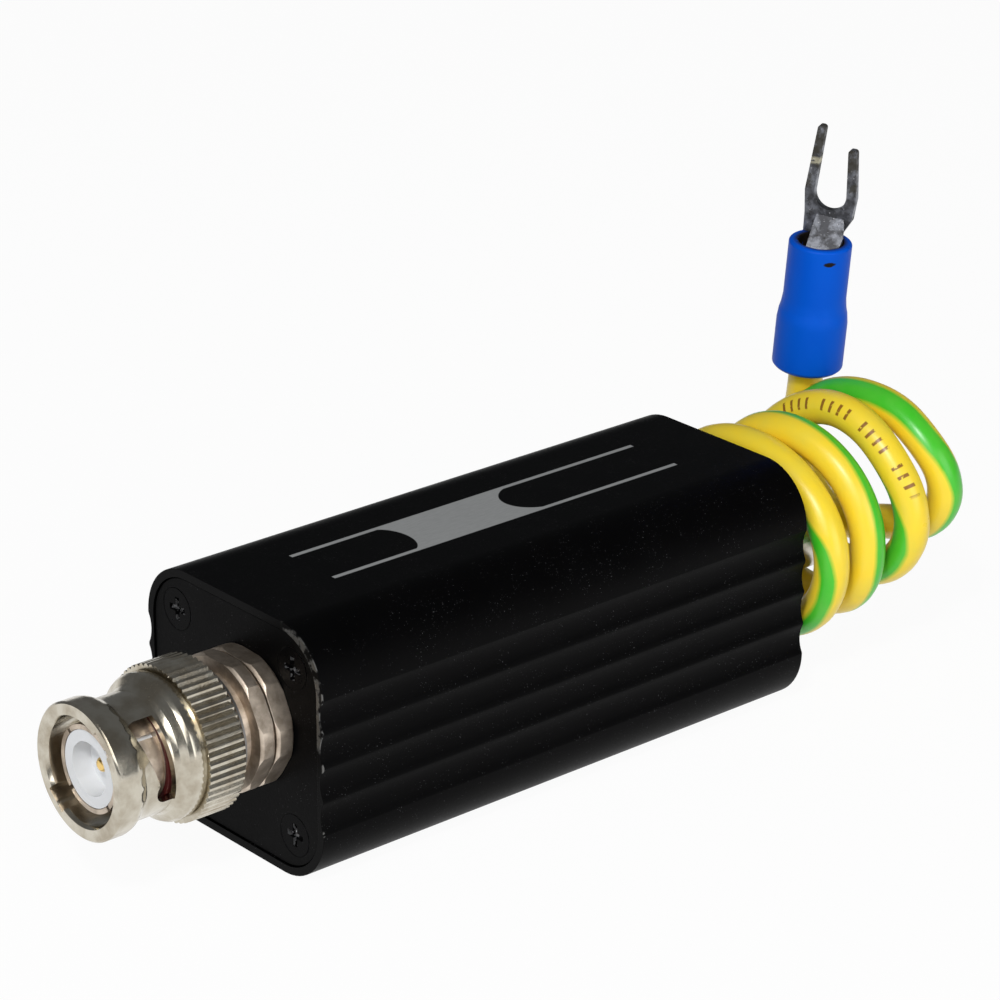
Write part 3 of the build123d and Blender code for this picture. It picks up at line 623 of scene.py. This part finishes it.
def clear_selection() -> None:
    """Leaves nothing selected, in object mode."""
    if bpy.context.object and bpy.context.object.mode != "OBJECT":
        bpy.ops.object.mode_set(mode="OBJECT")
    bpy.ops.object.select_all(action="DESELECT")


def make_active(piece: bpy.types.Object) -> None:
    """Selects one piece alone and makes it active."""
    clear_selection()
    piece.select_set(True)
    bpy.context.view_layer.objects.active = piece


def dress(piece: bpy.types.Object, material: bpy.types.Material) -> None:
    """Gives a piece one material on all its faces."""
    piece.data.materials.clear()
    piece.data.materials.append(material)


@dataclass
class RefinedNode:
    """A copy of a solid with softened edges, which stands for the node."""

    node: str
    body: Body
    bevel: float = 0.06
    angle: float = 16.0
    segments: int = 2
    merge_within: float = 0.002
    flat_within: float = 0.6
    smooth_margin: float = 6.0

    def build(self, nodes: dict[str, bpy.types.Object], material: bpy.types.Material) -> bpy.types.Object:
        """Copies, merges, bevels and dresses the node.

        Args:
            nodes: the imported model's objects by name.
            material: the finish.

        Returns:
            The new piece.
        """
        mesh = nodes[self.node].data.copy()
        piece = bpy.data.objects.new(f"{self.node}_finished", mesh)
        bpy.context.scene.collection.objects.link(piece)
        make_active(piece)
        bpy.ops.object.mode_set(mode="EDIT")
        bpy.ops.mesh.select_all(action="SELECT")
        bpy.ops.mesh.remove_doubles(threshold=self.merge_within * MM)
        bpy.ops.mesh.dissolve_limited(angle_limit=radians(self.flat_within))
        bpy.ops.object.mode_set(mode="OBJECT")
        softening = piece.modifiers.new("edges", "BEVEL")
        softening.width = self.bevel * MM
        softening.segments = self.segments
        softening.limit_method = "ANGLE"
        softening.angle_limit = radians(self.angle)
        softening.use_clamp_overlap = True
        bpy.ops.object.modifier_apply(modifier=softening.name)
        bpy.ops.object.shade_smooth_by_angle(angle=radians(self.angle + self.smooth_margin))
        weighing = piece.modifiers.new("weights", "WEIGHTED_NORMAL")
        weighing.keep_sharp = True
        weighing.weight = 80
        bpy.ops.object.modifier_apply(modifier=weighing.name)
        dress(piece, material)
        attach(piece, self.body.value)
        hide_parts(self.node)
        LOG.info("%s has softened edges", self.node)
        return piece


def reading(keys: tuple[tuple[float, ...], ...], phase: float, eased: bool) -> tuple[float, ...]:
    """Values of a table of keys at a phase.

    Args:
        keys: rows of a phase and its values, in order.
        phase: turns made since the first crossing of the right side.
        eased: whether the values change slowly beside the keys.

    Returns:
        The values between the two keys about the phase.
    """
    for low, high in zip(keys, keys[1:]):
        if phase <= high[0]:
            share = (phase - low[0]) / (high[0] - low[0])
            if eased:
                share = share * share * (3 - 2 * share)
            return tuple(a + share * (b - a) for a, b in zip(low[1:], high[1:]))
    return keys[-1][1:]


@dataclass
class EarthWire:
    """The green and yellow wire: out of the grommet, four loose turns, and up into the terminal.

    The middle line of the turns starts at middle_start behind the housing. Its two places, across and up,
    are given as the one at the start and the shift over middle_length.
    """

    radius: float = 1.75
    points_per_turn: int = 14
    sides: int = 20
    length: float = 245.0
    first_phase: float = -0.40
    last_phase: float = 3.17
    middle_start: float = 2.2
    middle_length: float = 16.2
    middle_across: tuple[float, float] = (2.7, 2.7)
    middle_up: tuple[float, float] = (13.9, 3.2)

    def route(self) -> list[Vector]:
        """Control points of the wire's line, in millimetres."""
        points = [Vector((LEAD_X, REAR_Y + behind, height)) for behind, height in LEAD]
        spread = cos(pi / self.points_per_turn)
        steps = round(self.points_per_turn * (self.last_phase - self.first_phase))
        for step in range(steps + 1):
            phase = self.first_phase + step / self.points_per_turn
            across, up, size, behind = reading(TURN_KEYS, phase, eased=True)
            angle = -2 * pi * phase
            points.append(Vector((across + size / spread * cos(angle), REAR_Y + behind,
                                  up + size / spread * sin(angle))))
        points += [Vector((across, REAR_Y + behind, up)) for across, behind, up in TAIL]
        return points

    def centre_line(self) -> list[Vector]:
        """Smooth line through the route, in metres."""
        curve = bpy.data.curves.new("earth_wire_line", "CURVE")
        curve.dimensions = "3D"
        spline = curve.splines.new("NURBS")
        route = self.route()
        spline.points.add(len(route) - 1)
        for point, place in zip(spline.points, route):
            point.co = (*(place * MM), 1.0)
        spline.order_u = 3
        spline.use_endpoint_u = True
        spline.resolution_u = 7
        carrier = bpy.data.objects.new("earth_wire_line", curve)
        bpy.context.scene.collection.objects.link(carrier)
        bpy.context.view_layer.update()
        line = bpy.data.meshes.new_from_object(carrier)
        places = [vertex.co.copy() for vertex in line.vertices]
        bpy.data.objects.remove(carrier)
        bpy.data.meshes.remove(line)
        return places

    def middle_beside(self, place: Vector) -> Vector:
        """Point on the turns' middle line beside a point of the wire, both in metres."""
        along = place.y / MM
        share = min(max((along - REAR_Y - self.middle_start) / self.middle_length, 0.0), 1.0)
        across = self.middle_across[0] + self.middle_across[1] * share
        up = self.middle_up[0] + self.middle_up[1] * share
        return Vector((across, along, up)) * MM

    def rings(self, line: list[Vector]) -> tuple[list[Vector], list[Chart]]:
        """Rings of points round the line, with the way travelled and the side of each point.

        Args:
            line: points that the wire follows.

        Returns:
            The points, and one row of map places for each ring.
        """
        vertices: list[Vector] = []
        charts: list[Chart] = []
        travelled = 0.0
        phase = -0.5
        for index, place in enumerate(line):
            before = line[max(index - 1, 0)]
            after = line[min(index + 1, len(line) - 1)]
            travelled += (place - before).length
            along = (after - before).normalized()
            outward = place - self.middle_beside(place)
            outward = (outward - along * outward.dot(along)).normalized()
            sideways = along.cross(outward)
            turned = -atan2(outward.z, outward.x) / (2 * pi)
            phase = turned + round(phase - turned)
            shift = reading(STRIPE_KEYS, phase, eased=False)[0] / 360 + 0.5
            for side in range(self.sides):
                angle = 2 * pi * side / self.sides
                vertices.append(place + (outward * cos(angle) + sideways * sin(angle)) * self.radius * MM)
            charts.append([(travelled, side / self.sides + shift) for side in range(self.sides + 1)])
        return vertices, charts

    def skin(self, charts: list[Chart]) -> tuple[list[tuple[int, ...]], Chart]:
        """Faces between the rings and over both ends.

        Args:
            charts: rows of map places, one for each ring.

        Returns:
            The faces, and the map place of each of their corners.
        """
        faces: list[tuple[int, ...]] = []
        corners: Chart = []
        for index in range(len(charts) - 1):
            low = index * self.sides
            high = low + self.sides
            for side in range(self.sides):
                following = (side + 1) % self.sides
                faces.append((low + side, low + following, high + following, high + side))
                corners += [charts[index][side], charts[index][side + 1],
                            charts[index + 1][side + 1], charts[index + 1][side]]
        last = (len(charts) - 1) * self.sides
        faces.append(tuple(reversed(range(self.sides))))
        faces.append(tuple(range(last, last + self.sides)))
        corners += [(0.0, 0.0)] * (2 * self.sides)
        return faces, corners

    def build(self, material: bpy.types.Material) -> tuple[bpy.types.Object, list[Vector]]:
        """Sweeps a round section along the line and maps the stripe on it.

        Args:
            material: the sheath's finish.

        Returns:
            The wire and the points that it follows.
        """
        line = self.centre_line()
        vertices, charts = self.rings(line)
        faces, corners = self.skin(charts)
        mesh = bpy.data.meshes.new("earth_wire")
        mesh.from_pydata(vertices, [], faces)
        chart = mesh.uv_layers.new(name="sheath")
        for loop, corner in zip(chart.data, corners):
            loop.uv = corner
        mesh.update()
        piece = bpy.data.objects.new("earth_wire", mesh)
        bpy.context.scene.collection.objects.link(piece)
        make_active(piece)
        bpy.ops.object.mode_set(mode="EDIT")
        bpy.ops.mesh.select_all(action="SELECT")
        bpy.ops.mesh.normals_make_consistent(inside=False)
        bpy.ops.object.mode_set(mode="OBJECT")
        bpy.ops.object.shade_smooth_by_angle(angle=radians(50))
        dress(piece, material)
        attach(piece, Body.HOUSING.value)
        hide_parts("earth_wire_lead", "earth_wire_coil", "earth_wire_tail")
        measured = sum((b - a).length for a, b in zip(line, line[1:])) / MM
        LOG.info("earth wire follows %d points, %.1f mm", len(line), measured)
        return piece, line


@dataclass
class Studio:
    """Camera, lamps, pale floor and surroundings."""

    azimuth: float = 48.979
    elevation: float = 22.499
    roll: float = 0.301
    distance: float = 358.852
    shift_right: float = 1.345
    shift_up: float = 12.43
    lens: float = 137.947
    sensor: float = 36.0
    dome_colour: tuple[float, float, float, float] = (0.93, 0.96, 1.0, 1.0)
    dome_strength: float = 0.14
    floor_side: float = 3.0
    floor_seen_white: float = 0.95
    floor_mirrored_white: float = 0.97

    def axes(self) -> tuple[Vector, Vector, Vector]:
        """Camera's right, up and back directions."""
        azimuth, elevation, roll = radians(self.azimuth), radians(self.elevation), radians(self.roll)
        back = Vector((sin(azimuth) * cos(elevation), -cos(azimuth) * cos(elevation), sin(elevation)))
        right = Vector((0.0, 0.0, 1.0)).cross(back).normalized()
        up = back.cross(right)
        return (cos(roll) * right + sin(roll) * up, cos(roll) * up - sin(roll) * right, back)

    def camera(self) -> None:
        """Puts a camera at the photograph's place."""
        right, up, back = self.axes()
        target = Vector(OBJECT_MIDDLE)
        eye = target + right * self.shift_right + up * self.shift_up + back * self.distance
        lens = bpy.data.cameras.new("camera")
        lens.lens = self.lens
        lens.sensor_width = self.sensor
        lens.sensor_fit = "HORIZONTAL"
        lens.clip_start = 0.01
        lens.clip_end = 20.0
        camera = bpy.data.objects.new("camera", lens)
        bpy.context.scene.collection.objects.link(camera)
        turned = Matrix((right, up, back)).transposed().to_4x4()
        camera.matrix_world = Matrix.Translation(eye * MM) @ turned
        bpy.context.scene.camera = camera

    def lamp(self, name: str, place: Point, size: float, power: float) -> None:
        """Adds a square soft lamp that faces the middle of the object.

        Args:
            name: its name.
            place: where it hangs, in millimetres.
            size: its side, in millimetres.
            power: watts.
        """
        light = bpy.data.lights.new(name, "AREA")
        light.size = size * MM
        light.energy = power
        holder = bpy.data.objects.new(name, light)
        bpy.context.scene.collection.objects.link(holder)
        holder.location = Vector(place) * MM
        facing = Vector(OBJECT_MIDDLE) - Vector(place)
        holder.rotation_euler = facing.to_track_quat("-Z", "Y").to_euler()

    def surroundings(self) -> None:
        """Adds a world that is white where the camera looks, and a weak dome for the other rays."""
        world = bpy.data.worlds.new("surroundings")
        bpy.context.scene.world = world
        world.use_nodes = True
        tree = world.node_tree
        tree.nodes.clear()
        output = tree.nodes.new("ShaderNodeOutputWorld")
        seen = tree.nodes.new("ShaderNodeBackground")
        dome = tree.nodes.new("ShaderNodeBackground")
        for sky, colour, strength in ((seen, WHITE, 1.0), (dome, self.dome_colour, self.dome_strength)):
            sky.inputs["Color"].default_value = colour
            sky.inputs["Strength"].default_value = strength
        rays = tree.nodes.new("ShaderNodeLightPath")
        either = tree.nodes.new("ShaderNodeMath")
        either.operation = "MAXIMUM"
        mixed = tree.nodes.new("ShaderNodeMixShader")
        tree.links.new(rays.outputs["Is Camera Ray"], either.inputs[0])
        tree.links.new(rays.outputs["Is Transmission Ray"], either.inputs[1])
        tree.links.new(either.outputs[0], mixed.inputs[0])
        tree.links.new(dome.outputs[0], mixed.inputs[1])
        tree.links.new(seen.outputs[0], mixed.inputs[2])
        tree.links.new(mixed.outputs[0], output.inputs[0])

    def floor(self) -> None:
        """Adds a pale floor that keeps a faint shadow."""
        clear_selection()
        bpy.ops.mesh.primitive_grid_add(x_subdivisions=4, y_subdivisions=4, size=self.floor_side,
                                        location=(0, 0, 0))
        floor = bpy.context.object
        floor.name = "floor"
        graph = Graph("floor_paper")
        graph.finish(Base_Color=(0.9, 0.9, 0.9), Roughness=0.9)
        glow = graph.tree.nodes.new("ShaderNodeEmission")
        glow.inputs["Color"].default_value = WHITE
        mixed = graph.tree.nodes.new("ShaderNodeMixShader")
        rays = graph.tree.nodes.new("ShaderNodeLightPath")
        seen = Channel(graph, rays.outputs["Is Camera Ray"]) * self.floor_seen_white
        mirrored = Channel(graph, rays.outputs["Is Glossy Ray"]) * self.floor_mirrored_white
        graph.connect(mixed.inputs[0], seen.math("MAXIMUM", mirrored))
        graph.tree.links.new(graph.shader.outputs[0], mixed.inputs[1])
        graph.tree.links.new(glow.outputs[0], mixed.inputs[2])
        graph.tree.links.new(mixed.outputs[0], graph.output.inputs[0])
        dress(floor, graph.material)

    def build(self) -> None:
        """Places the camera, lamps, floor and surroundings."""
        self.camera()
        self.surroundings()
        self.floor()
        self.lamp("key", (375, -535, 460), 600, 3.0)
        self.lamp("low_side", (590, 50, 120), 420, 1.5)
        self.lamp("flash", (270, -330, 420), 60, 1.3)
        bpy.context.scene.view_settings.view_transform = "Standard"


FINISHES = {
    "nickel": Metal("nickel_plate", (0.62, 0.58, 0.50), (0.26, 0.21, 0.14),
                    roughness=0.2, stained=0.4, grain=0.7),
    "knurl": Metal("knurled_nickel", (0.61, 0.57, 0.48), (0.25, 0.19, 0.11),
                   roughness=0.21, stained=0.5, grain=0.6),
    "nut": Metal("dull_nickel", (0.68, 0.585, 0.485), (0.20, 0.15, 0.105),
                 roughness=0.47, stained=0.6, grain=0.4, relief=0.010),
    "gold": Metal("gold_contact", (0.86, 0.60, 0.22), (0.60, 0.38, 0.12),
                  roughness=0.25, stained=0.3, grain=0.3),
    "spring": Metal("spring_steel", (0.28, 0.27, 0.26), (0.12, 0.11, 0.10),
                    roughness=0.4, stained=0.5, grain=0.5),
    "zinc": Metal("zinc_plate", (0.60, 0.61, 0.62), (0.40, 0.38, 0.34),
                  roughness=0.35, stained=0.4, grain=0.6),
    "copper": Metal("bare_copper", (0.80, 0.42, 0.24), (0.45, 0.22, 0.12),
                    roughness=0.3, stained=0.4, grain=0.5),
    "tinned": DirtyTin(),
    "screw": RecessedBlack(),
    "blue": BlueVinyl(),
    "shell": Anodised("anodised_shell", printed=True),
    "plate": Anodised("anodised_plate", colour=(0.0014, 0.0014, 0.0015),
                      roughness=0.46, texture=0.02, shine=0.03),
    "white": Moulded("white_insulator", (0.74, 0.755, 0.775), (0.66, 0.67, 0.68),
                     roughness=0.4, grain=0.6, relief=0.004),
    # Dark red rubber, made darker still for the shade it sits in inside the sleeve's window: partly
    # painted shade
    "red": Moulded("red_gasket", (0.075, 0.003, 0.003), (0.03, 0.002, 0.002), roughness=0.5),
    "rubber": Moulded("black_rubber", (0.018, 0.018, 0.018), (0.03, 0.03, 0.03), roughness=0.65),
    "board": Moulded("board_laminate", (0.03, 0.20, 0.07), (0.05, 0.27, 0.10),
                     roughness=0.35, grain=0.8, relief=0.004, coat=0.3),
    "ceramic": Moulded("tube_ceramic", (0.74, 0.71, 0.66), (0.62, 0.60, 0.56),
                       roughness=0.3, grain=0.7, relief=0.003, coat=0.3),
    "black_body": Moulded("diode_body", (0.015, 0.015, 0.016), (0.03, 0.03, 0.03), roughness=0.4),
    "lacquer": Moulded("resistor_lacquer", (0.22, 0.42, 0.52), (0.30, 0.50, 0.60),
                       roughness=0.4, grain=0.5, relief=0.004, coat=0.2),
}

# Solids that keep their own mesh, by the finish that they get
DRESSED = {
    "screw": ("rear_plate_screws",),
    "zinc": ("plug_lock_washer", "jack_lock_washer"),
    "nut": ("plug_inner_nut", "jack_nut"),
    "white": ("plug_insulator", "jack_insulator"),
    "gold": ("plug_centre_pin", "jack_centre_contact"),
    "red": ("plug_gasket",),
    "spring": ("plug_retaining_ring", "plug_spring_washer"),
    "nickel": ("thrust_washer", "jack_body"),
    "tinned": ("earth_tag",),
    "rubber": ("wire_grommet",),
    "board": ("circuit_board",),
    "ceramic": ("gas_discharge_tube",),
    "black_body": ("suppressor_diodes",),
    "lacquer": ("series_resistors",),
    "copper": ("front_signal_lead", "rear_signal_lead", "inner_earth_lead"),
}

# Solids that get a copy with softened edges, with its finish
REFINED = (
    (RefinedNode("coupling_sleeve", Body.SLEEVE, bevel=0.05), "knurl"),
    (RefinedNode("plug_body", Body.HOUSING, bevel=0.05), "nut"),
    (RefinedNode("plug_panel_nut", Body.HOUSING, bevel=0.06), "nut"),
    (RefinedNode("fork_terminal", Body.HOUSING, bevel=0.12), "tinned"),
    (RefinedNode("front_plate_screws", Body.HOUSING, bevel=0.05), "screw"),
    (RefinedNode("terminal_sleeve", Body.HOUSING, bevel=0.35), "blue"),
    (RefinedNode("housing_shell", Body.HOUSING, bevel=0.12, angle=40.0), "shell"),
    (RefinedNode("front_plate", Body.HOUSING, bevel=0.1, angle=40.0), "plate"),
    (RefinedNode("rear_plate", Body.HOUSING, bevel=0.1, angle=40.0), "plate"),
)


def main() -> None:
    """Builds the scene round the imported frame."""
    logging.basicConfig(level=logging.INFO, format="%(message)s")
    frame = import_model()
    nodes = frame["nodes"]
    Studio().build()
    wire, line = EarthWire().build(StripedSheath().material())
    materials = {name: finish.material() for name, finish in FINISHES.items()}
    for finish, names in DRESSED.items():
        for node in names:
            dress(nodes[node], materials[finish])
    refined = {copy.node: copy.build(nodes, materials[finish]) for copy, finish in REFINED}
    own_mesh(nodes["plug_spring_washer"])


if __name__ == "__main__":
    main()
